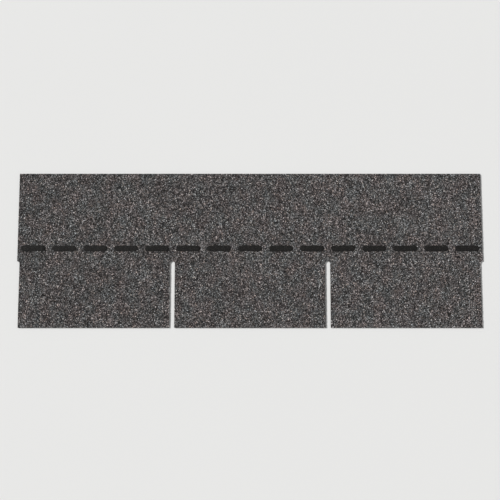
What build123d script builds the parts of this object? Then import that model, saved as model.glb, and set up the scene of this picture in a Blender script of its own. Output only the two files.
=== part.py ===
from build123d import *
import os

# A three-tab asphalt strip shingle, one whole unit lying flat with its granules up.
# X runs along the strip, Y runs up the roof from the butt edge to the headlap, Z is up.
# The origin is on the underside, at the middle of the strip. Sizes are in millimetres.

# The sheet: a coated mat, cut as one piece.
STRIP_LENGTH = 914.4
STRIP_WIDTH = 304.8
SHEET_THICKNESS = 2.8

# The tabs, and the cutouts that part them. Each end of the strip has half a cutout,
# so that two strips laid end to end show a full one between them.
TAB_COUNT = 3
EXPOSURE = 127.0
CUTOUT_WIDTH = 9.5
CUTOUT_UNDERLAP = 3.2

# The row of sealant dashes, on the face above the cutouts and above the line of nails.
NAIL_BAND = 19.0
DASHES_PER_TAB = 5
DASH_GAP = 12.7
DASH_WIDTH = 12.7
DASH_HEIGHT = 0.8

tab_pitch = STRIP_LENGTH / TAB_COUNT
strip_left = -STRIP_LENGTH / 2
butt_edge = -STRIP_WIDTH / 2

# A cutout runs a little further up than the exposure, under the course above.
cutout_head = butt_edge + EXPOSURE + CUTOUT_UNDERLAP
cutout_radius = CUTOUT_WIDTH / 2

dash_pitch = tab_pitch / DASHES_PER_TAB
dash_length = dash_pitch - DASH_GAP
dash_line = cutout_head + NAIL_BAND + DASH_WIDTH / 2


def cutout_outline(x):
    """A cutout centred on x: straight sides from past the butt edge, and a round head."""
    foot = butt_edge - cutout_radius
    spring_line = cutout_head - cutout_radius
    legs = Pos(x, (foot + spring_line) / 2) * Rectangle(CUTOUT_WIDTH, spring_line - foot)
    head = Pos(x, spring_line) * Circle(cutout_radius)
    return legs + head


def shingle_sheet():
    """The whole strip as one solid, cut out between its tabs and at both ends."""
    outline = Rectangle(STRIP_LENGTH, STRIP_WIDTH)
    for joint in range(TAB_COUNT + 1):
        outline -= cutout_outline(strip_left + joint * tab_pitch)
    return extrude(outline, amount=SHEET_THICKNESS)


def sealant_dash(index):
    """One flat bead of adhesive with round ends, seated on the face of the sheet."""
    x = strip_left + (index + 0.5) * dash_pitch
    bead = extrude(SlotOverall(dash_length, DASH_WIDTH), amount=DASH_HEIGHT)
    return Pos(x, dash_line, SHEET_THICKNESS) * bead


os.makedirs("parts", exist_ok=True)
export_step(shingle_sheet(), "parts/shingle_sheet.step")
for index in range(TAB_COUNT * DASHES_PER_TAB):
    export_step(sealant_dash(index), f"parts/sealant_dash_{index + 1:02d}.step")
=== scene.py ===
"""Dresses a three-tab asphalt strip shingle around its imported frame.

The face of the strip is laid granule by granule: a lattice of crushed-stone cells, each with its
own facets and its own shade. Frayed cut edges and a sanded back close the sheet below it, and the
beads of sealant lie on the face. Lengths are in metres, in the row frame: X runs along the strip,
Y runs up the roof from the butt edge, and Z is up.
"""

import logging
import math
from dataclasses import dataclass, field
from enum import Enum

import bpy
import numpy as np
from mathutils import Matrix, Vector, geometry, noise


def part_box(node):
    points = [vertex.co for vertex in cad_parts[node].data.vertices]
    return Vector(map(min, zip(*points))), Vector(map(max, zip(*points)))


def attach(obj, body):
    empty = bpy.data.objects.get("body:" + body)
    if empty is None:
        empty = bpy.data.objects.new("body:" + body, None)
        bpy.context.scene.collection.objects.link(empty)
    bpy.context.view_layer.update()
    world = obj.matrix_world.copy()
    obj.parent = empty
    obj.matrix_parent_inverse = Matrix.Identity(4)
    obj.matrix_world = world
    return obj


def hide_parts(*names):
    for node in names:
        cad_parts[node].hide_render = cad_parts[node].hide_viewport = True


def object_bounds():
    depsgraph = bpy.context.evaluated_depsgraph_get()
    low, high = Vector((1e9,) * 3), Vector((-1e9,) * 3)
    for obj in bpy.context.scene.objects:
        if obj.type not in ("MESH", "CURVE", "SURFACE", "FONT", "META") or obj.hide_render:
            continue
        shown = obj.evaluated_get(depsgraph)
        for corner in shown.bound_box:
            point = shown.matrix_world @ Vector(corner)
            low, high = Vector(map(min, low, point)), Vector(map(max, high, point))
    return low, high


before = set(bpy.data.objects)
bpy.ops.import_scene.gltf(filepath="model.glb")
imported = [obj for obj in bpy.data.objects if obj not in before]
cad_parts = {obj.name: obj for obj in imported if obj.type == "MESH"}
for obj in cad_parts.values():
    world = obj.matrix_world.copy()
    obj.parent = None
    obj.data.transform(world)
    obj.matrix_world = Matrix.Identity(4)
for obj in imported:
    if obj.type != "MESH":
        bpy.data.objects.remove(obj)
cad_low, cad_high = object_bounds()

log = logging.getLogger("strip_shingle")

Colour = tuple[float, float, float]
Span = tuple[float, float]

MM = 0.001
BAKE_MAP = "OFBake"
TONE = "granule_tone"
# The triangulation's mode that keeps only what lies inside the outline.
INSIDE_OUTLINE = 1


class Slot(Enum):
    """The record's material slots."""

    MINERAL = "mineral_surface"
    SEALANT = "sealant"


class Side(Enum):
    """The finishes that a block of the sheet wears, by material index."""

    FACE = 0
    CUT = 1
    BACK = 2


class Signal:
    """A shader value that can be written into expressions."""

    def __init__(self, board: "Board", socket: bpy.types.NodeSocket) -> None:
        """Wraps an output socket of a node that stands on the board."""
        self.board = board
        self.socket = socket

    def _math(self, operation: str, *values: "Signal | float", clamp: bool = False) -> "Signal":
        """Adds one Math node, with its inputs in order."""
        settings = {"operation": operation, "use_clamp": clamp}
        return self.board.node("ShaderNodeMath", settings, dict(enumerate(values)))

    def __add__(self, other: "Signal | float") -> "Signal":
        """self + other."""
        return self._math("ADD", self, other)

    def __radd__(self, other: float) -> "Signal":
        """other + self."""
        return self._math("ADD", other, self)

    def __sub__(self, other: "Signal | float") -> "Signal":
        """self - other."""
        return self._math("SUBTRACT", self, other)

    def __rsub__(self, other: float) -> "Signal":
        """other - self."""
        return self._math("SUBTRACT", other, self)

    def __mul__(self, other: "Signal | float") -> "Signal":
        """self * other."""
        return self._math("MULTIPLY", self, other)

    def __rmul__(self, other: float) -> "Signal":
        """other * self."""
        return self._math("MULTIPLY", other, self)

    def __gt__(self, other: "Signal | float") -> "Signal":
        """1 where self is greater than other, and 0 elsewhere."""
        return self._math("GREATER_THAN", self, other)

    def __lt__(self, other: "Signal | float") -> "Signal":
        """1 where self is less than other, and 0 elsewhere."""
        return self._math("LESS_THAN", self, other)

    def spread(self, low: float, high: float) -> "Signal":
        """Stretches the span from low to high over 0 to 1, and holds it there."""
        gain = 1.0 / (high - low)
        return self._math("MULTIPLY_ADD", self, gain, -low * gain, clamp=True)

    def between(self, low: float, high: float) -> "Signal":
        """Turns a share from 0 to 1 into a value from low to high."""
        return self._math("MULTIPLY_ADD", self, high - low, low)


@dataclass(frozen=True)
class Cloud:
    """Cloudy noise that a finish uses.

    The size is that of its blotches, in metres, and the detail is its number of finer layers. The
    span is the part of its values that is spread over 0 to 1, or None for the noise as it comes:
    near 0.5, and mostly between 0.3 and 0.7. The stretch is the scale of X, Y and Z ahead of it.
    """

    size: float
    detail: float = 2.0
    span: Span | None = (0.3, 0.7)
    stretch: tuple[float, float, float] | None = None


class Board:
    """The node tree of one material or world, with one method that adds every node."""

    def __init__(self, owner: bpy.types.Material | bpy.types.World) -> None:
        """Clears the owner's node tree.

        Args:
            owner: The material or world to work on.
        """
        owner.use_nodes = True
        self.owner = owner
        self.tree = owner.node_tree
        self.tree.nodes.clear()

    def node(
        self,
        kind: str,
        settings: dict[str, object] | None = None,
        inputs: dict[str | int, object] | None = None,
        output: str | int = 0,
    ) -> Signal | None:
        """Adds a node, sets it up and feeds its sockets.

        Args:
            kind: The node's type.
            settings: Its own settings, set before its sockets are read. A ramp's "stops" are
                pairs of place and colour.
            inputs: Values or signals for its input sockets, by name or number.
            output: The output socket to return, by name or number.

        Returns:
            The chosen output, or None from a node that has none.
        """
        made = self.tree.nodes.new(kind)
        for name, value in (settings or {}).items():
            if name == "stops":
                self._set_stops(made.color_ramp, value)
            else:
                setattr(made, name, value)
        for key, value in (inputs or {}).items():
            socket = made.inputs[key]
            if isinstance(value, Signal):
                self.tree.links.new(value.socket, socket)
            else:
                socket.default_value = value
        return Signal(self, made.outputs[output]) if made.outputs else None

    @staticmethod
    def _set_stops(ramp: bpy.types.ColorRamp, stops: list[tuple[float, Colour]]) -> None:
        """Gives a new colour ramp its stops.

        Args:
            ramp: The ramp, which has two stops of its own.
            stops: Pairs of place and colour, from 0 to 1.
        """
        while len(ramp.elements) < len(stops):
            ramp.elements.new(1.0)
        for element, (place, colour) in zip(ramp.elements, stops):
            element.position = place
            element.color = (*colour, 1.0)

    def place(self) -> Signal:
        """The point on the piece, in the row frame."""
        return self.node("ShaderNodeTexCoord", output="Object")

    def height(self) -> Signal:
        """How far the point lies above the strip's underside, in metres."""
        return self.node("ShaderNodeSeparateXYZ", None, {0: self.place()}, "Z")

    def tone(self) -> Signal:
        """The shade number that every granule was given, from 0 to 1."""
        return self.node("ShaderNodeAttribute", {"attribute_name": TONE}, output="Fac")

    def draw(self, tone: Signal, seed: float, output: str = "Value") -> Signal:
        """A fresh Value or Color for each granule, which the seed draws from its shade number."""
        settings = {"noise_dimensions": "1D"}
        return self.node("ShaderNodeTexWhiteNoise", settings, {"W": tone * seed}, output)

    def cloud(self, kind: Cloud) -> Signal:
        """Adds cloudy noise.

        Args:
            kind: The noise's size and character.

        Returns:
            The noise, spread over 0 to 1 where it has a span.
        """
        where = self.place()
        if kind.stretch is not None:
            where = self.node("ShaderNodeMapping", None, {"Vector": where, "Scale": kind.stretch})
        inputs = {"Vector": where, "Scale": 1.0 / kind.size, "Detail": kind.detail}
        cloudy = self.node("ShaderNodeTexNoise", None, inputs)
        return cloudy if kind.span is None else cloudy.spread(*kind.span)

    def grit(self, size: float, output: str = "Distance") -> Signal:
        """The Distance from the nearest of many grains, spaced by size, or its random Color."""
        inputs = {"Vector": self.place(), "Scale": 1.0 / size}
        return self.node("ShaderNodeTexVoronoi", None, inputs, output)

    def specks(self, size: float) -> Signal:
        """A random value from 0 to 1 for each grain of fine grit."""
        return self.node("ShaderNodeSeparateColor", None, {0: self.grit(size, "Color")}, "Red")

    def vector(self, operation: str, *values: object) -> Signal:
        """Adds one Vector Math node, whose inputs are signals or three numbers each."""
        inputs = dict(enumerate(values))
        return self.node("ShaderNodeVectorMath", {"operation": operation}, inputs)

    def tip(self, tone: Signal, seed: float, amount: float, over: Signal) -> Signal:
        """Tips the normals of each granule its own way.

        Args:
            tone: The granule's shade number.
            seed: A multiplier that picks one draw.
            amount: The most that a normal leans along each axis.
            over: The normals to tip.

        Returns:
            The normals.
        """
        way = self.draw(tone, seed, "Color")
        way = self.vector("MULTIPLY_ADD", way, (2 * amount,) * 3, (-amount,) * 3)
        return self.vector("NORMALIZE", self.vector("ADD", over, way))

    def grey(self, value: Signal) -> Signal:
        """A grey of that value, as a colour."""
        return self.node("ShaderNodeCombineColor", None, {0: value, 1: value, 2: value})

    def tint(self, colour: Signal, by: Signal | Colour, share: Signal | float = 1.0) -> Signal:
        """Multiplies a colour by another, in full or by a share."""
        return self.mix(share, colour, by, "MULTIPLY")

    def mix(self, share: Signal | float, start: object, end: object, mode: str = "MIX") -> Signal:
        """Mixes two colours.

        Args:
            share: How much of the second colour shows.
            start: The first colour, a signal or three numbers.
            end: The second colour, a signal or three numbers.
            mode: The Mix node's blend type.

        Returns:
            The mixed colour.
        """
        first, second = (c if isinstance(c, Signal) else (*c, 1.0) for c in (start, end))
        settings = {"data_type": "RGBA", "blend_type": mode}
        return self.node("ShaderNodeMix", settings, {0: share, 6: first, 7: second}, 2)

    def bump(self, relief: Signal, depth: float, over: Signal | None = None) -> Signal:
        """Turns a relief into normals.

        Args:
            relief: The height, from 0 to 1.
            depth: What 1 stands for, in metres.
            over: Normals that this relief is laid over.

        Returns:
            The normals.
        """
        inputs = {"Height": relief, "Distance": depth}
        if over is not None:
            inputs["Normal"] = over
        return self.node("ShaderNodeBump", None, inputs, "Normal")

    def surface(self, **sockets: object) -> bpy.types.Material:
        """Adds the surface shader and its output.

        Args:
            sockets: Values or signals by socket name, with spaces as underscores.

        Returns:
            The finished material.
        """
        inputs = {name.replace("_", " "): value for name, value in sockets.items()}
        shader = self.node("ShaderNodeBsdfPrincipled", None, inputs)
        self.node("ShaderNodeOutputMaterial", None, {"Surface": shader})
        return self.owner


def board_for(name: str) -> Board:
    """A board for a new material of that name."""
    return Board(bpy.data.materials.new(name))


def stand(name: str, data: bpy.types.ID) -> bpy.types.Object:
    """Stands a new object in the scene.

    Args:
        name: Its name.
        data: Its mesh, light or camera.

    Returns:
        The object.
    """
    made = bpy.data.objects.new(name, data)
    bpy.context.scene.collection.objects.link(made)
    return made


def form(
    name: str, points: list[Vector], faces: list[tuple[int, ...]], finish: bpy.types.Material
) -> bpy.types.Object:
    """Stands a new mesh of one finish in the scene.

    Args:
        name: Its name.
        points: Its points.
        faces: The numbers of each face's points, anticlockwise from outside.
        finish: Its material.

    Returns:
        The object.
    """
    mesh = bpy.data.meshes.new(name)
    mesh.from_pydata(points, [], faces)
    mesh.materials.append(finish)
    return stand(name, mesh)


@dataclass(frozen=True)
class GranuleFinish:
    """Crushed stone in a blend of charcoal shades, bedded in black asphalt."""

    asphalt: Colour = (0.010, 0.0095, 0.009)
    # Shares of the blend, from the blackest granules to the few near-white ones.
    blend: tuple[tuple[float, float], ...] = (
        (0.00, 0.012),
        (0.24, 0.030),
        (0.42, 0.066),
        (0.60, 0.120),
        (0.77, 0.180),
        (0.90, 0.295),
        (0.97, 0.480),
        (1.00, 0.720),
    )
    warmth: Colour = (1.05, 0.985, 0.975)
    brown: Colour = (1.09, 0.99, 0.91)
    slate: Colour = (0.94, 1.00, 1.04)
    brown_share: float = 0.16
    slate_share: float = 0.15
    # One end and the other of the blend's slow drift along the web.
    warm_batch: Colour = (1.05, 0.985, 0.975)
    cool_batch: Colour = (0.95, 1.015, 1.025)
    batch: Cloud = Cloud(24 * MM, detail=1.0, span=(0.35, 0.65), stretch=(1.0, 0.7, 0.1))
    mineral: Cloud = Cloud(0.45 * MM, detail=3.0)
    mineral_range: Span = (0.72, 1.28)
    weather: Cloud = Cloud(55 * MM, detail=3.0, span=(0.25, 0.75), stretch=(0.5, 1.0, 1.0))
    weather_range: Span = (0.90, 1.10)
    # The heights between which bedded asphalt gives way to clean stone.
    bedding: Span = (1.75 * MM, 2.30 * MM)
    rough: float = 0.92
    # Granules whose draw lies above the span's start have smoother faces, by up to the polish.
    polish: float = 0.34
    polished: Span = (0.55, 1.0)
    mineral_polish: float = 0.10
    chip_size: float = 0.8 * MM
    chip_depth: float = 0.16 * MM
    pit_depth: float = 0.05 * MM
    lean: float = 0.55
    lustre: float = 0.20
    # Multipliers of the shade number that each pick one draw of their own.
    lot_seed: float = 733.0
    shine_seed: float = 419.0
    lean_seed: float = 887.0

    def make(self) -> bpy.types.Material:
        """Builds the finish of the granule face.

        Returns:
            The material.
        """
        board = board_for("crushed_stone")
        tone = board.tone()
        stops = [(place, tuple(shade * w for w in self.warmth)) for place, shade in self.blend]
        stone = board.node("ShaderNodeValToRGB", {"stops": stops}, {"Fac": tone})
        lot = board.draw(tone, self.lot_seed)
        stone = board.tint(stone, self.brown, lot > 1.0 - self.brown_share)
        stone = board.tint(stone, self.slate, lot < self.slate_share)
        mineral = board.cloud(self.mineral)
        stone = board.tint(stone, board.grey(mineral.between(*self.mineral_range)))
        weather = board.cloud(self.weather)
        stone = board.tint(stone, board.grey(weather.between(*self.weather_range)))
        batch = board.mix(board.cloud(self.batch), self.warm_batch, self.cool_batch)
        stone = board.tint(stone, batch)
        clean = board.height().spread(*self.bedding)
        colour = board.mix(clean, self.asphalt, stone)
        shine = board.draw(tone, self.shine_seed).spread(*self.polished)
        rough = self.rough - self.polish * shine - self.mineral_polish * mineral
        chips = board.bump(board.grit(self.chip_size), self.chip_depth)
        fine = board.bump(mineral, self.pit_depth, chips)
        tipped = board.tip(tone, self.lean_seed, self.lean, fine)
        return board.surface(
            Base_Color=colour, Roughness=rough, Normal=tipped, Specular_IOR_Level=self.lustre
        )


@dataclass(frozen=True)
class CutFinish:
    """The knife-cut edge: black filled asphalt, smeared, with grey specks of filler."""

    asphalt: Colour = (0.014, 0.013, 0.012)
    filler: Colour = (0.075, 0.070, 0.066)
    filler_share: float = 0.8
    stone: Colour = (0.11, 0.104, 0.100)
    speck_size: float = 0.35 * MM
    speck_range: Span = (0.72, 0.95)
    # The heights between which the cut comes to pass through granules.
    granules: Span = (1.7 * MM, 2.4 * MM)
    patches: Cloud = Cloud(1.1 * MM, span=(0.45, 0.60))
    smears: Cloud = Cloud(0.9 * MM, detail=3.0, stretch=(1.0, 1.0, 3.0))
    smear_rough: Span = (0.48, 0.86)
    ruck_depth: float = 0.18 * MM
    lustre: float = 0.30

    def make(self) -> bpy.types.Material:
        """Builds the finish of the cut edges.

        Returns:
            The material.
        """
        board = board_for("cut_asphalt")
        specks = board.specks(self.speck_size).spread(*self.speck_range)
        colour = board.mix(specks * self.filler_share, self.asphalt, self.filler)
        high = board.height().spread(*self.granules)
        colour = board.mix(high * board.cloud(self.patches), colour, self.stone)
        smear = board.cloud(self.smears)
        rough = smear.between(*self.smear_rough)
        rucks = board.bump(smear, self.ruck_depth)
        return board.surface(
            Base_Color=colour, Roughness=rough, Normal=rucks, Specular_IOR_Level=self.lustre
        )


@dataclass(frozen=True)
class BackFinish:
    """The back coat: asphalt dusted with pale parting sand that beds unevenly."""

    asphalt: Colour = (0.020, 0.019, 0.018)
    sand: Colour = (0.155, 0.148, 0.138)
    sand_size: float = 0.5 * MM
    sand_depth: float = 0.09 * MM
    drift: Cloud = Cloud(26 * MM, detail=3.0, stretch=(0.35, 1.0, 1.0))
    drift_range: Span = (0.55, 1.15)
    cover_range: Span = (0.34, 0.72)
    cover_rough: Span = (0.62, 0.92)
    cloth: Cloud = Cloud(3.2 * MM, span=None)
    cloth_depth: float = 0.22 * MM
    lustre: float = 0.30

    def make(self) -> bpy.types.Material:
        """Builds the finish of the underside.

        Returns:
            The material.
        """
        board = board_for("sanded_back")
        grain = board.specks(self.sand_size)
        drift = board.cloud(self.drift).between(*self.drift_range)
        cover = (grain * drift).spread(*self.cover_range)
        colour = board.mix(cover, self.asphalt, self.sand)
        rough = cover.between(*self.cover_rough)
        grains = board.bump(cover, self.sand_depth)
        cloth = board.bump(board.cloud(self.cloth), self.cloth_depth, grains)
        return board.surface(
            Base_Color=colour, Roughness=rough, Normal=cloth, Specular_IOR_Level=self.lustre
        )


@dataclass(frozen=True)
class SealantFinish:
    """Soft black adhesive with a skin that the granules show through, and a little stone dust."""

    asphalt: Colour = (0.0075, 0.0070, 0.0066)
    dust: Colour = (0.12, 0.115, 0.108)
    dust_share: float = 0.7
    dust_size: float = 0.38 * MM
    dust_range: Span = (0.93, 0.99)
    dust_rough: float = 0.3
    skin: Cloud = Cloud(2.2 * MM, detail=3.0)
    skin_depth: float = 0.42 * MM
    skin_rough: Span = (0.46, 0.80)
    lustre: float = 0.12

    def make(self) -> bpy.types.Material:
        """Builds the finish of the sealant beads.

        Returns:
            The material.
        """
        board = board_for("sealant_asphalt")
        dusty = board.specks(self.dust_size).spread(*self.dust_range)
        colour = board.mix(dusty * self.dust_share, self.asphalt, self.dust)
        skin = board.cloud(self.skin)
        rough = skin.between(*self.skin_rough) + self.dust_rough * dusty
        lumps = board.bump(skin, self.skin_depth)
        return board.surface(
            Base_Color=colour, Roughness=rough, Normal=lumps, Specular_IOR_Level=self.lustre
        )


@dataclass(frozen=True)
class FloorFinish:
    """A pale matt studio floor."""

    colour: Colour = (0.80, 0.80, 0.79)
    shade: float = 0.985
    patches: Cloud = Cloud(0.4, span=None)
    rough: float = 0.9

    def make(self) -> bpy.types.Material:
        """Builds the floor's finish.

        Returns:
            The material.
        """
        board = board_for("pale_floor")
        shaded = tuple(self.shade * c for c in self.colour)
        colour = board.mix(board.cloud(self.patches), self.colour, shaded)
        return board.surface(Base_Color=colour, Roughness=self.rough)


@dataclass(frozen=True)
class StripPlan:
    """The strip's outline: its box, and the cutouts that part its tabs.

    A cutout runs up past the exposed part, a little way under the course above.
    """

    low: Vector
    high: Vector
    tab_count: int = 3
    exposure: float = 127.0 * MM
    cutout_underlap: float = 3.2 * MM
    cutout_width: float = 9.5 * MM

    @property
    def tab_pitch(self) -> float:
        """The distance from one cutout to the next."""
        return (self.high.x - self.low.x) / self.tab_count

    @property
    def cutout_radius(self) -> float:
        """Half a cutout's width, which is also the radius of its round head."""
        return self.cutout_width / 2

    @property
    def spring_line(self) -> float:
        """The height up the strip at which a cutout's sides end and its round head starts."""
        return self.low.y + self.exposure + self.cutout_underlap - self.cutout_radius


@dataclass
class GranuleLattice:
    """Corners of the granule cells over the whole strip.

    Columns are half a granule apart, and a cell is two columns wide. Rows alternate by one
    column, so that most cells have six corners. The tabs' columns run straight up to the line
    where the cutouts' round heads start. Above it they fan out round the heads and then even
    out. Every corner is moved off its place, apart from those on the outline, which only
    wander a little inwards.
    """

    plan: StripPlan
    pitch: float = 1.6 * MM
    row_share: float = 0.866
    head_columns: int = 16
    fan_rows: int = 32
    relaxed_columns: int = 32
    relaxed_rows: tuple[int, int] = (14, 26)
    relax_rounds: int = 500
    slack: float = 0.72
    slack_rows: float = 2.2
    # In a honeycomb the corners of a row stand a sixth of a row above and below its line.
    zigzag_part: float = 6.0
    sway: float = 0.26 * MM
    drift: float = 0.80 * MM
    drift_size: float = 8 * MM
    margin: float = 9 * MM
    tight: float = 0.35
    fray: float = 0.22 * MM
    corner_depth: Span = (0.42 * MM, 1.05 * MM)
    seed: int = 11
    x: np.ndarray = field(init=False)
    y: np.ndarray = field(init=False)
    z: np.ndarray = field(init=False)
    inward: np.ndarray = field(init=False)

    def __post_init__(self) -> None:
        """Counts the rows and columns, and lays the corners out."""
        plan = self.plan
        self.rng = np.random.default_rng(self.seed)
        self.row_step = self.pitch * self.row_share
        self.tab_columns = 2 * round((plan.tab_pitch - plan.cutout_width) / self.pitch)
        self.tab_stride = self.tab_columns + self.head_columns
        self.columns = plan.tab_count * self.tab_stride
        self.seam_row = round((plan.spring_line - plan.low.y) / self.row_step)
        self.rows = self.seam_row + round((plan.high.y - plan.spring_line) / self.row_step)
        self._lay()
        self._relax_heads()
        self._scatter()
        self._fray_outline()

    def tab_span(self, tab: int) -> tuple[int, int]:
        """The columns on the left and right side of a tab."""
        first = tab * self.tab_stride + self.head_columns // 2
        return first, first + self.tab_columns

    def _lay(self) -> None:
        """Puts every corner on its row and column, without a stray."""
        plan, seam = self.plan, self.seam_row
        columns = np.arange(self.columns + 1)
        spans = np.array([self.tab_span(tab) for tab in range(plan.tab_count)])
        lefts = plan.low.x + np.arange(plan.tab_count) * plan.tab_pitch + plan.cutout_radius
        rights = lefts + plan.tab_pitch - plan.cutout_width
        tab_x = np.interp(columns, spans.ravel(), np.stack([lefts, rights], axis=1).ravel())
        seam_x, seam_y = tab_x.copy(), np.full(len(columns), plan.spring_line)
        angle = self._head_angle(columns)
        head = ~np.isnan(angle)
        centre = plan.low.x + np.round(columns / self.tab_stride) * plan.tab_pitch
        seam_x[head] = (centre + plan.cutout_radius * np.cos(angle))[head]
        seam_y[head] += plan.cutout_radius * np.sin(angle[head])
        even_x = np.linspace(plan.low.x, plan.high.x, len(columns))
        self.x = np.empty((self.rows + 1, len(columns)))
        self.y = np.empty_like(self.x)
        self.x[:seam] = tab_x
        self.y[:seam] = np.linspace(plan.low.y, plan.spring_line, seam, endpoint=False)[:, None]
        above = np.arange(self.rows + 1 - seam)
        bend = np.clip(1 - above / self.fan_rows, 0.0, 1.0)[:, None] ** 2
        level = np.linspace(plan.spring_line, plan.high.y, len(above))[:, None]
        self.x[seam:] = even_x + bend * (seam_x - even_x)
        self.y[seam:] = level + bend * (seam_y - plan.spring_line)
        self.inward = np.zeros((2, *self.x.shape))
        self.inward[0, seam, head] = np.cos(angle[head])
        self.inward[1, seam, head] = np.sin(angle[head])

    def _head_angle(self, columns: np.ndarray) -> np.ndarray:
        """Where each column meets a cutout's round head.

        Args:
            columns: The columns.

        Returns:
            The angle about the head's centre, from pi at its left side to 0 at its right side,
            or not a number for a column that runs down a tab.
        """
        offset = columns - np.round(columns / self.tab_stride) * self.tab_stride
        angle = math.pi * (0.5 - offset / self.head_columns)
        return np.where(np.abs(offset) <= self.head_columns // 2, angle, np.nan)

    def _relax_heads(self) -> None:
        """Evens out the cells round the cutouts' heads, as in a stretched net.

        The net's upright threads are slack just above a head, so that the rows there don't
        crowd. One head is relaxed, and the others are given its places. The heads at the
        strip's ends are half of it.
        """
        below, above = self.relaxed_rows
        rows = slice(self.seam_row - below, self.seam_row + above + 1)
        middle, reach = self.tab_stride, self.relaxed_columns
        patch = np.stack([a[rows, middle - reach : middle + reach + 1] for a in (self.x, self.y)])
        half = self.head_columns // 2
        head = slice(reach - half, reach + half + 1)
        free = np.zeros(patch.shape[1:], dtype=bool)
        free[1:-1, 1:-1] = True
        free[: below + 1, head] = False
        beside = 1 / (self.pitch / 2) ** 2
        up = np.full(free.shape, 1 / self.row_step ** 2)
        slack = self.slack * np.exp(-np.arange(above + 1) / self.slack_rows)
        up[below:, head] *= 1 - slack[:, None]
        down = np.roll(up, 1, 0)
        for _ in range(self.relax_rounds):
            mean = (
                beside * (np.roll(patch, 1, 2) + np.roll(patch, -1, 2))
                + down * np.roll(patch, 1, 1) + up * np.roll(patch, -1, 1)
            ) / (2 * beside + up + down)
            patch[:, free] = mean[:, free]
        for joint in range(self.plan.tab_count + 1):
            centre = joint * self.tab_stride
            low, high = max(centre - reach, 0), min(centre + reach, self.columns)
            part = slice(low - centre + reach, high - centre + reach + 1)
            self.x[rows, low : high + 1] = patch[0, :, part] + (joint - 1) * self.plan.tab_pitch
            self.y[rows, low : high + 1] = patch[1, :, part]

    def _scatter(self) -> None:
        """Moves the corners to a honeycomb's places and then astray, and gives them heights."""
        shape = self.x.shape
        row, column = np.indices(shape)
        step = np.where((row + column) % 2 == 0, 1.0, -1.0) * self.row_step / self.zigzag_part
        stray = self.rng.uniform(-self.sway, self.sway, (2, *shape))
        inner_x, inner_y = self._off_outline()
        heads, outline = self._stand_off()
        roomy = self.tight + (1 - self.tight) * np.clip(heads / self.margin, 0.0, 1.0)
        afloat = self.drift * np.clip(outline / self.margin, 0.0, 1.0)
        self.x += stray[0] * inner_x * roomy + self._wander() * afloat
        self.y += (stray[1] + step) * inner_y * roomy + self._wander() * afloat
        self.z = self.plan.high.z - self.rng.uniform(*self.corner_depth, shape)

    def _wander(self) -> np.ndarray:
        """Draws smooth random values over the lattice.

        Returns:
            A value from -1 to 1 for every corner.
        """
        shape = self.x.shape
        sizes = (self.row_step, self.pitch / 2)
        counts = [round(n * size / self.drift_size) + 2 for n, size in zip(shape, sizes)]
        knots = self.rng.uniform(-1.0, 1.0, counts)
        for axis, count in enumerate(shape):
            knots = self._resample(knots, axis, count)
        return knots

    @staticmethod
    def _resample(knots: np.ndarray, axis: int, count: int) -> np.ndarray:
        """Draws values out along one axis, in straight lines from knot to knot.

        Args:
            knots: The values at the knots, evenly spaced.
            axis: The axis to draw out.
            count: How many values it gets.

        Returns:
            The values.
        """
        places = np.linspace(0, knots.shape[axis] - 1, count)
        return np.apply_along_axis(
            lambda line: np.interp(places, np.arange(len(line)), line), axis, knots
        )

    def _off_outline(self) -> tuple[np.ndarray, np.ndarray]:
        """Finds the corners that may move.

        Returns:
            1 for every corner that may move along X, and likewise along Y, and 0 for the others.
        """
        free_x, free_y = np.ones(self.x.shape), np.ones(self.x.shape)
        seam = self.seam_row
        for tab in range(self.plan.tab_count):
            free_x[:seam, self.tab_span(tab)] = 0.0
        free_y[0] = 0.0
        free_y[-1] = 0.0
        free_x[seam:, [0, -1]] = 0.0
        heads = np.any(self.inward[:, seam] != 0.0, axis=0)
        free_x[seam, heads] = 0.0
        free_y[seam, heads] = 0.0
        return free_x, free_y

    def _stand_off(self) -> tuple[np.ndarray, np.ndarray]:
        """Measures how far every corner lies from the outline.

        Returns:
            The distance from the nearest cutout's head, and from the whole outline.
        """
        plan = self.plan
        joint = np.round((self.x - plan.low.x) / plan.tab_pitch)
        aside = self.x - plan.low.x - joint * plan.tab_pitch
        over = self.y - plan.spring_line
        heads = np.hypot(aside, over) - plan.cutout_radius
        cutouts = np.hypot(aside, np.maximum(over, 0.0)) - plan.cutout_radius
        edges = [self.x - plan.low.x, plan.high.x - self.x, self.y - plan.low.y,
                 plan.high.y - self.y]
        return heads, np.minimum(cutouts, np.min(edges, axis=0))

    def _fray_outline(self) -> None:
        """Lets the corners on the outline wander inwards."""
        seam = self.seam_row
        for tab in range(self.plan.tab_count):
            left, right = self.tab_span(tab)
            self.inward[1, 0, left : right + 1] = 1.0
            self.inward[0, :seam, left] = 1.0
            self.inward[0, :seam, right] = -1.0
        self.inward[1, -1] = -1.0
        self.inward[0, seam + 1 :, 0] = 1.0
        self.inward[0, seam + 1 :, -1] = -1.0
        wander = self.rng.uniform(0.0, self.fray, self.x.shape)
        self.x += self.inward[0] * wander
        self.y += self.inward[1] * wander

    def cells(self, rows: range, first: int, last: int) -> tuple[np.ndarray, np.ndarray]:
        """Lists the cells between two columns.

        Args:
            rows: The rows of cells.
            first: The column on the left.
            last: The column on the right.

        Returns:
            The corner numbers of the whole cells, six each, and of the half cells that fill
            every other row at both ends, four each. They run anticlockwise from above.
        """
        stride = self.columns + 1
        whole, half = [], []
        for row in rows:
            start = first + (row + first) % 2
            low = row * stride + np.arange(start, last - 1, 2)
            high = low + stride
            whole.append(np.stack([low, low + 1, low + 2, high + 2, high + 1, high], axis=1))
            if start > first:
                ends = row * stride + np.array([first, last - 1])
                half.append(np.stack([ends, ends + 1, ends + 1 + stride, ends + stride], axis=1))
        return np.concatenate(whole), np.concatenate(half)

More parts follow.
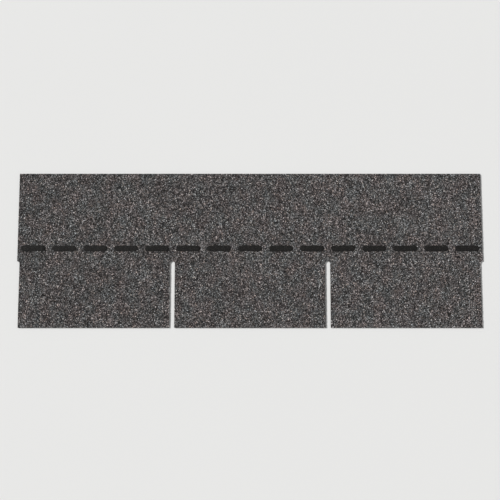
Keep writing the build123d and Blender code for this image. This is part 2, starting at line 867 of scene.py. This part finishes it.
    def column_of(self, cells: np.ndarray) -> np.ndarray:
        """The column of each cell's second corner, in the middle of a whole cell."""
        return cells[:, 1] % (self.columns + 1)


@dataclass(frozen=True)
class MapLayout:
    """Where the parts of a block lie on its texture map."""

    face_from: float = 0.40
    cut_from: float = 0.335
    cut_rows: int = 4
    cut_row_step: float = 0.0155
    cut_row_height: float = 0.0125
    back_to: float = 0.33
    margin: float = 0.003

    def flat(self, xy: np.ndarray, box: np.ndarray, low: float, high: float) -> np.ndarray:
        """Lays points seen from above into a full-width band of the map.

        Args:
            xy: The points.
            box: The block's lowest and highest corner.
            low: The bottom of the band.
            high: The top of the band.

        Returns:
            Map coordinates.
        """
        share = (xy - box[0]) / (box[1] - box[0])
        u = self.margin + share[:, 0] * (1 - 2 * self.margin)
        v = low + self.margin + share[:, 1] * (high - low - 2 * self.margin)
        return np.stack([u, v], axis=1)

    def strip(self, along: np.ndarray, row: np.ndarray, drop: float) -> np.ndarray:
        """Lays points of the cut edge into the rows kept for it.

        Args:
            along: The place along the edge, in lengths of a row from its own row's start.
            row: The row.
            drop: How far down the cut the points are, from 0 to 1.

        Returns:
            Map coordinates.
        """
        u = self.margin * 2 + along * (1 - 4 * self.margin)
        v = self.cut_from + row * self.cut_row_step + (1 - drop) * self.cut_row_height
        return np.stack([u, v], axis=1)


@dataclass
class SheetBlock:
    """A block of the sheet: granules on its face, cut edges or hidden seams, and the back."""

    name: str
    lattice: GranuleLattice
    whole: np.ndarray
    half: np.ndarray
    seed: int
    peak_depth: Span = (0.01 * MM, 0.75 * MM)
    peak_stray: float = 0.30 * MM
    least_facet: float = 0.03 * MM ** 2
    lost_share: float = 0.015
    lost_depth: float = 1.00 * MM
    # The cut's profile below the face: share of the thickness, inset and wander.
    cut_profile: tuple[tuple[float, float, float], ...] = (
        (0.62, 0.03 * MM, 0.14 * MM),
        (0.30, 0.00 * MM, 0.12 * MM),
        (0.00, 0.10 * MM, 0.14 * MM),
    )
    back_grid: float = 6 * MM
    back_relief: float = 0.08 * MM
    # Points of the back nearer than this, in metres, are taken as one.
    weld: float = 1e-9
    layout: MapLayout = MapLayout()

    def build(self, finishes: list[bpy.types.Material]) -> bpy.types.Object:
        """Builds the block's mesh and dresses it.

        Args:
            finishes: The materials for the face, the cut and the back, in that order.

        Returns:
            The block, in the row frame.
        """
        self.rng = np.random.default_rng(self.seed)
        corners, cells = self._corners()
        points, faces, tones = self._face(corners, cells)
        loop = self._rim(cells)
        levels, rings = self._cut_rings(corners[loop], points[loop], len(points))
        walls, wall_map = self._walls(loop, points, levels, rings)
        points = np.concatenate([points, levels.reshape(-1, 3)])
        inner, floor = self._back(levels[-1])
        numbers = np.append(rings[-1], len(points) + np.arange(len(inner)))
        floor = numbers[floor]
        points = np.concatenate([points, inner])
        box = np.stack([points[:, :2].min(0), points[:, :2].max(0)])
        flat = self.layout.flat
        uv = np.concatenate([
            flat(points[faces.ravel(), :2], box, self.layout.face_from, 1.0),
            wall_map,
            flat(points[floor.ravel(), :2], box, 0.0, self.layout.back_to),
        ])
        sides = np.repeat(
            [Side.FACE.value, Side.CUT.value, Side.BACK.value],
            [len(faces), len(walls), len(floor)],
        )
        every = np.concatenate([faces, walls, floor])
        tone = np.concatenate([tones, np.zeros(len(walls) + len(floor))])
        return self._mesh(points, every, sides, tone, uv, finishes)

    def _corners(self) -> tuple[np.ndarray, list[np.ndarray]]:
        """Numbers the block's own corners.

        Returns:
            The lattice's numbers of the corners in use, and the whole and half cells in the
            block's own numbers.
        """
        both = np.concatenate([self.whole.ravel(), self.half.ravel()])
        corners, own = np.unique(both, return_inverse=True)
        split = self.whole.size
        return corners, [own[:split].reshape(-1, 6), own[split:].reshape(-1, 4)]

    def _face(
        self, corners: np.ndarray, cells: list[np.ndarray]
    ) -> tuple[np.ndarray, np.ndarray, np.ndarray]:
        """Raises a peak in every cell and joins it to the cell's corners.

        Args:
            corners: The lattice's numbers of the block's corners.
            cells: The whole and half cells, in the block's own numbers.

        Returns:
            The points, corners first and peaks after them; the triangles; and the shade number
            of each triangle's granule.
        """
        grid = self.lattice
        points = np.stack([grid.x.ravel(), grid.y.ravel(), grid.z.ravel()], axis=1)[corners]
        every, triangles, tones = [points], [], []
        full_cell = grid.pitch * grid.row_step
        count = len(points)
        for shape in cells:
            sides = shape.shape[1]
            outline = points[shape]
            middle = outline.mean(axis=1)
            room = self._facet_areas(outline, middle).sum(axis=1) / full_cell
            stray = self.rng.uniform(-self.peak_stray, self.peak_stray, (len(shape), 2))
            peak = middle.copy()
            peak[:, :2] += stray * np.clip(room, 0.0, 1.0)[:, None]
            crushed = self._facet_areas(outline, peak).min(axis=1) < self.least_facet
            peak[crushed] = middle[crushed]
            shallow, deep = self.peak_depth
            depth = shallow + (deep - shallow) * self.rng.random(len(shape)) ** 2
            lost = self.rng.random(len(shape)) < self.lost_share
            peak[:, 2] = grid.plan.high.z - np.where(lost, self.lost_depth, depth)
            number = np.repeat(np.arange(count, count + len(shape)), sides)
            ring = np.stack([shape, np.roll(shape, -1, axis=1)], axis=2).reshape(-1, 2)
            triangles.append(np.column_stack([ring, number]))
            tones.append(np.repeat(self.rng.random(len(shape)), sides))
            every.append(peak)
            count += len(shape)
        return np.concatenate(every), np.concatenate(triangles), np.concatenate(tones)

    @staticmethod
    def _facet_areas(outlines: np.ndarray, peaks: np.ndarray) -> np.ndarray:
        """The area of each cell's facets from above, which is below 0 where one turns over."""
        x, y = np.moveaxis(outlines[..., :2] - peaks[:, None, :2], -1, 0)
        return (x * np.roll(y, -1, axis=1) - y * np.roll(x, -1, axis=1)) / 2

    @staticmethod
    def _rim(cells: list[np.ndarray]) -> np.ndarray:
        """Follows the edge of the block.

        Args:
            cells: The whole and half cells.

        Returns:
            The corners on the edge, in order, anticlockwise from above.
        """
        pairs = [np.stack([c, np.roll(c, -1, axis=1)], axis=2).reshape(-1, 2) for c in cells]
        edges = np.concatenate(pairs)
        base = edges.max() + 1
        lone = ~np.isin(edges[:, 0] * base + edges[:, 1], edges[:, 1] * base + edges[:, 0])
        after = dict(edges[lone].tolist())
        loop = [next(iter(after))]
        while (step := after[loop[-1]]) != loop[0]:
            loop.append(step)
        return np.array(loop)

    def _cut_rings(
        self, corners: np.ndarray, rim: np.ndarray, count: int
    ) -> tuple[np.ndarray, np.ndarray]:
        """Drops rings of points from the rim down to the back.

        Only the corners on the strip's outline move off the vertical: at a seam inside the sheet
        the blocks on both sides need the same points.

        Args:
            corners: The lattice's numbers of the rim's corners.
            rim: The rim's points.
            count: The number of points made so far.

        Returns:
            The rings' points, level by level, and their numbers.
        """
        grid = self.lattice
        inward = grid.inward.reshape(2, -1)[:, corners].T
        levels = []
        for level, (share, inset, wander) in enumerate(self.cut_profile):
            draw = np.random.default_rng(grid.seed + 1 + level).random(grid.x.size)[corners]
            ring = rim.copy()
            ring[:, :2] += inward * (inset + wander * draw)[:, None]
            ring[:, 2] = grid.plan.low.z + share * (grid.plan.high.z - grid.plan.low.z)
            levels.append(ring)
        numbers = count + np.arange(len(levels) * len(rim)).reshape(len(levels), -1)
        return np.stack(levels), numbers

    def _walls(
        self, loop: np.ndarray, points: np.ndarray, levels: np.ndarray, rings: np.ndarray
    ) -> tuple[np.ndarray, np.ndarray]:
        """Joins the rim and the rings below it.

        Args:
            loop: The rim's corners.
            points: The face's points.
            levels: The rings' points.
            rings: The rings' numbers.

        Returns:
            The triangles, and map coordinates for their corners.
        """
        steps = np.linalg.norm(np.diff(points[np.append(loop, loop[0]), :2], axis=0), axis=1)
        along = np.append(0.0, np.cumsum(steps))
        length = along[-1] / self.layout.cut_rows
        row = np.minimum(along[:-1] // length, self.layout.cut_rows - 1)
        start, end = along[:-1] / length - row, along[1:] / length - row
        top, triangles, places = loop, [], []
        drops = np.linspace(0.0, 1.0, len(rings) + 1)
        for ring, high, low in zip(rings, drops, drops[1:]):
            corners = np.stack([ring, np.roll(ring, -1), np.roll(top, -1), top], axis=1)
            turns = ((start, low), (end, low), (end, high), (start, high))
            spots = np.stack([self.layout.strip(at, row, drop) for at, drop in turns], axis=1)
            for half in ([0, 1, 2], [0, 2, 3]):
                triangles.append(corners[:, half])
                places.append(spots[:, half].reshape(-1, 2))
            top = ring
        return np.concatenate(triangles), np.concatenate(places)

    def _back(self, foot: np.ndarray) -> tuple[np.ndarray, np.ndarray]:
        """Closes the block below with a back that is nearly flat.

        Args:
            foot: The lowest ring's points.

        Returns:
            The points inside the ring, and triangles that number the ring's points first and
            the inside points after them.
        """
        low, high = foot.min(0) + self.back_grid / 2, foot.max(0) - self.back_grid / 2
        spans = [np.arange(low[i], high[i], self.back_grid) for i in range(2)]
        inside = np.stack(np.meshgrid(*spans), axis=-1).reshape(-1, 2)
        ring = [Vector(p) for p in foot[:, :2].tolist()]
        edges = [(i, (i + 1) % len(ring)) for i in range(len(ring))]
        _, _, faces, origin, _, _ = geometry.delaunay_2d_cdt(
            ring + [Vector(p) for p in inside.tolist()], edges, [], INSIDE_OUTLINE, self.weld
        )
        own = [o[0] for o in origin]
        faces = np.array([[own[i] for i in face] for face in faces])
        relief = self.rng.uniform(0.0, self.back_relief, len(inside))
        inner = np.column_stack([inside, foot[0, 2] + relief])
        return inner, faces[:, ::-1]

    def _mesh(
        self,
        points: np.ndarray,
        faces: np.ndarray,
        sides: np.ndarray,
        tones: np.ndarray,
        uv: np.ndarray,
        finishes: list[bpy.types.Material],
    ) -> bpy.types.Object:
        """Makes the object.

        Args:
            points: The points.
            faces: The triangles.
            sides: Each triangle's material index.
            tones: Each triangle's shade number.
            uv: Map coordinates of the triangles' corners.
            finishes: The materials.

        Returns:
            The object.
        """
        used, faces = np.unique(faces, return_inverse=True)
        faces = faces.reshape(-1, 3).astype(np.int32)
        mesh = bpy.data.meshes.new(self.name)
        for finish in finishes:
            mesh.materials.append(finish)
        mesh.vertices.add(len(used))
        mesh.vertices.foreach_set("co", points[used].astype(np.float32).ravel())
        mesh.loops.add(faces.size)
        mesh.loops.foreach_set("vertex_index", faces.ravel())
        mesh.polygons.add(len(faces))
        mesh.polygons.foreach_set("loop_start", np.arange(0, faces.size, 3, dtype=np.int32))
        mesh.polygons.foreach_set("material_index", sides.astype(np.int32))
        mesh.polygons.foreach_set("use_smooth", np.zeros(len(faces), dtype=bool))
        shade = mesh.attributes.new(TONE, "FLOAT", "FACE")
        shade.data.foreach_set("value", tones.astype(np.float32))
        layer = mesh.uv_layers.new(name=BAKE_MAP)
        layer.uv.foreach_set("vector", uv.astype(np.float32).ravel())
        mesh.update(calc_edges=True)
        return stand(self.name, mesh)


@dataclass
class ShingleSheet:
    """The whole sheet, in blocks that meet along the granules' own borders."""

    plan: StripPlan
    names: tuple[str, ...] = ("left", "middle", "right")
    seed: int = 100

    def blocks(self) -> list[SheetBlock]:
        """Deals the lattice's cells out to the blocks.

        Returns:
            A block for each tab, and one for the headlap above it.
        """
        grid = GranuleLattice(self.plan)
        made = []
        headlap = grid.cells(range(grid.seam_row, grid.rows), 0, grid.columns)
        for index, name in enumerate(self.names):
            tab = grid.cells(range(grid.seam_row), *grid.tab_span(index))
            made.append(SheetBlock(f"{name}_tab", grid, *tab, self.seed + index))
            share = [c[(grid.column_of(c) - 1) // grid.tab_stride == index] for c in headlap]
            number = self.seed + len(self.names) + index
            made.append(SheetBlock(f"{name}_headlap", grid, *share, number))
        return made


@dataclass
class SealantDash:
    """A bead of adhesive, laid hot: a low crown with round ends and a wavering edge."""

    node: str
    seed: int
    around: int = 160
    sink: float = 0.75 * MM
    # How far each ring has come from the bead's edge to its spine, from 0 to 1.
    rings: tuple[float, ...] = (0.0, 0.012, 0.04, 0.09, 0.17, 0.28, 0.40, 0.53, 0.66, 0.79, 0.92)
    crown_power: float = 3.4
    waver: float = 1.1 * MM
    waver_size: float = 6 * MM
    waver_shift: float = 0.0
    sag: float = 0.18
    sag_size: float = 9 * MM
    sag_shift: float = 40.0
    lump: float = 0.40
    lump_size: float = 2.7 * MM
    lump_shift: float = 80.0
    seed_step: float = 17.3

    def build(self, finish: bpy.types.Material) -> bpy.types.Object:
        """Builds the bead in its CAD solid's place.

        Args:
            finish: The adhesive's material.

        Returns:
            The bead, in the row frame.
        """
        low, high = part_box(self.node)
        size, centre = high - low, (high + low) / 2
        points = []
        for share in self.rings:
            points += self._ring(share, low, size, centre)
        foot = [Vector((p.x, p.y, low.z - self.sink)) for p in points[: self.around]]
        bead = form(f"{self.node}_bead", foot + points, self._faces(), finish)
        for polygon in bead.data.polygons:
            polygon.use_smooth = True
        return bead

    def _faces(self) -> list[tuple[int, ...]]:
        """Joins the foot and the rings, and closes the bead below and along its spine.

        Returns:
            The numbers of each face's points.
        """
        count, faces = self.around, []
        for ring in range(len(self.rings)):
            base = ring * count
            for i in range(count):
                j = (i + 1) % count
                faces.append((base + i, base + j, base + count + j, base + count + i))
        faces.append(tuple(range(count - 1, -1, -1)))
        last = len(self.rings) * count
        for i in range(count // 2 - 1):
            other = count - 1 - i
            faces.append((last + i, last + i + 1, last + other - 1, last + other))
        return faces

    def _ring(self, share: float, low: Vector, size: Vector, centre: Vector) -> list[Vector]:
        """One ring of the crown.

        Args:
            share: How far the ring has come from the edge to the bead's spine, from 0 to 1.
            low: The lowest corner of the CAD solid.
            size: Its size.
            centre: Its middle.

        Returns:
            The ring's points, anticlockwise from above.
        """
        radius = size.y / 2
        crown = (1 - (1 - share) ** self.crown_power) ** 0.5
        ring = []
        for step in range(self.around):
            spine, way = self._outline((step + 0.5) / self.around, size.x / 2 - radius, radius)
            inset = self.waver * self._share(
                centre + spine + radius * way, self.waver_size, self.waver_shift
            )
            at = centre + spine + (radius - inset) * (1 - share) * way
            dip = self.sag * self._share(at, self.sag_size, self.sag_shift)
            dip += self.lump * self._share(at, self.lump_size, self.lump_shift)
            at.z = low.z + size.z * crown * (1 - dip)
            ring.append(at)
        return ring

    @staticmethod
    def _outline(turn: float, reach: float, radius: float) -> tuple[Vector, Vector]:
        """A place on the bead's outline, by the share of the way round from its right end.

        Args:
            turn: The share of the way round, from 0 to 1, anticlockwise.
            reach: Half the length of the straight sides.
            radius: The radius of the round ends.

        Returns:
            The nearest point of the bead's spine, and the way out from there.
        """
        quarter = math.pi / 2 * radius
        at = turn * 4 * (quarter + reach)
        side = 1.0 if turn < 0.5 else -1.0
        # The lower half is walked from the left end, as the upper half turned round.
        at -= 0.0 if turn < 0.5 else 2 * (quarter + reach)
        if at < quarter:
            spine, angle = reach, at / radius
        elif at < quarter + 2 * reach:
            spine, angle = reach - (at - quarter), math.pi / 2
        else:
            spine, angle = -reach, (at - 2 * reach) / radius
        way = Vector((math.cos(angle), math.sin(angle), 0.0))
        return side * Vector((spine, 0.0, 0.0)), side * way

    def _share(self, at: Vector, size: float, shift: float) -> float:
        """Smooth noise at a point, with a layer of half the size and strength, for this bead.

        Args:
            at: The point.
            size: The size of the noise's blotches.
            shift: A step aside that keeps one use of the noise from another.

        Returns:
            A value from 0 to 1.
        """
        place = at / size + Vector((0.0, shift, self.seed * self.seed_step))
        value = 0.5 + 0.5 * noise.noise(place) + 0.25 * noise.noise(2 * place)
        return min(max(value, 0.0), 1.0)


@dataclass
class Studio:
    """A pale floor, a soft key light from the upper left, even fill and the camera."""

    floor_size: float = 12.0
    key_elevation: float = math.radians(34)
    key_bearing: float = math.radians(160)
    key_width: float = math.radians(6)
    key_share: float = 0.64
    fill: float = 0.36
    backdrop: Colour = (0.84, 0.84, 0.83)
    lean: float = math.radians(6.2)
    view_angle: float = math.radians(35)
    frame_share: float = 0.93

    def build(self, low: Vector, high: Vector) -> None:
        """Sets the stage.

        Args:
            low: The object's lowest corner.
            high: Its highest corner.
        """
        self._floor(low.z)
        self._key()
        self._world()
        self._camera(low, high)
        bpy.context.scene.view_settings.view_transform = "Standard"

    def _floor(self, height: float) -> None:
        """Lays the floor under the strip.

        Args:
            height: The floor's height.
        """
        half = self.floor_size / 2
        turns = ((-half, -half), (half, -half), (half, half), (-half, half))
        corners = [Vector((x, y, height)) for x, y in turns]
        floor = form("floor", corners, [(0, 1, 2, 3)], FloorFinish().make())

    def _key(self) -> None:
        """Hangs the key light, at a level that lights the floor by its share."""
        light = bpy.data.lights.new("key", "SUN")
        light.energy = math.pi * self.key_share / math.sin(self.key_elevation)
        light.angle = self.key_width
        level = math.cos(self.key_elevation)
        toward = Vector((
            level * math.cos(self.key_bearing),
            level * math.sin(self.key_bearing),
            math.sin(self.key_elevation),
        ))
        lamp = stand("key", light)
        lamp.rotation_mode = "QUATERNION"
        lamp.rotation_quaternion = toward.to_track_quat("Z", "Y")

    def _world(self) -> None:
        """Fills the room with even light, with a pale backdrop where it is looked at."""
        world = bpy.data.worlds.new("studio")
        board = Board(world)
        rays = ("Is Camera Ray", "Is Glossy Ray", "Is Transmission Ray")
        looked_at = sum(board.node("ShaderNodeLightPath", output=ray) for ray in rays)
        white = (1.0, 1.0, 1.0, 1.0)
        fill = board.node("ShaderNodeBackground", None, {"Color": white, "Strength": self.fill})
        back = board.node("ShaderNodeBackground", None, {"Color": (*self.backdrop, 1.0)})
        share = looked_at.spread(0.0, 1.0)
        mixed = board.node("ShaderNodeMixShader", None, {0: share, 1: fill, 2: back})
        board.node("ShaderNodeOutputWorld", None, {"Surface": mixed})
        bpy.context.scene.world = world

    def _camera(self, low: Vector, high: Vector) -> None:
        """Looks down on the strip, leaning back from its butt edge.

        Args:
            low: The object's lowest corner.
            high: Its highest corner.
        """
        lens = bpy.data.cameras.new("camera")
        lens.angle = self.view_angle
        camera = stand("camera", lens)
        span = (high.x - low.x) / self.frame_share
        distance = span / 2 / math.tan(self.view_angle / 2)
        back = Vector((0.0, -math.sin(self.lean), math.cos(self.lean)))
        camera.location = (low + high) / 2 + distance * back
        camera.rotation_euler = (self.lean, 0.0, 0.0)
        bpy.context.scene.camera = camera


def main() -> None:
    """Builds the shingle and the studio around it."""
    logging.basicConfig(level=logging.INFO, format="%(name)s: %(message)s")
    low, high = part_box("shingle_sheet")
    finishes = [GranuleFinish().make(), CutFinish().make(), BackFinish().make()]
    for block in ShingleSheet(StripPlan(low, high)).blocks():
        piece = block.build(finishes)
        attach(piece, "root")
        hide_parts("shingle_sheet")
        log.info("%s: %d faces", piece.name, len(piece.data.polygons))
    sealant = SealantFinish().make()
    dashes = sorted(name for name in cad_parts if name.startswith("sealant_dash"))
    for number, node in enumerate(dashes):
        bead = SealantDash(node, number).build(sealant)
        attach(bead, "root")
        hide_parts(node)
        log.info("%s: %d faces", bead.name, len(bead.data.polygons))
    Studio().build(cad_low, cad_high)


if __name__ == "__main__":
    main()
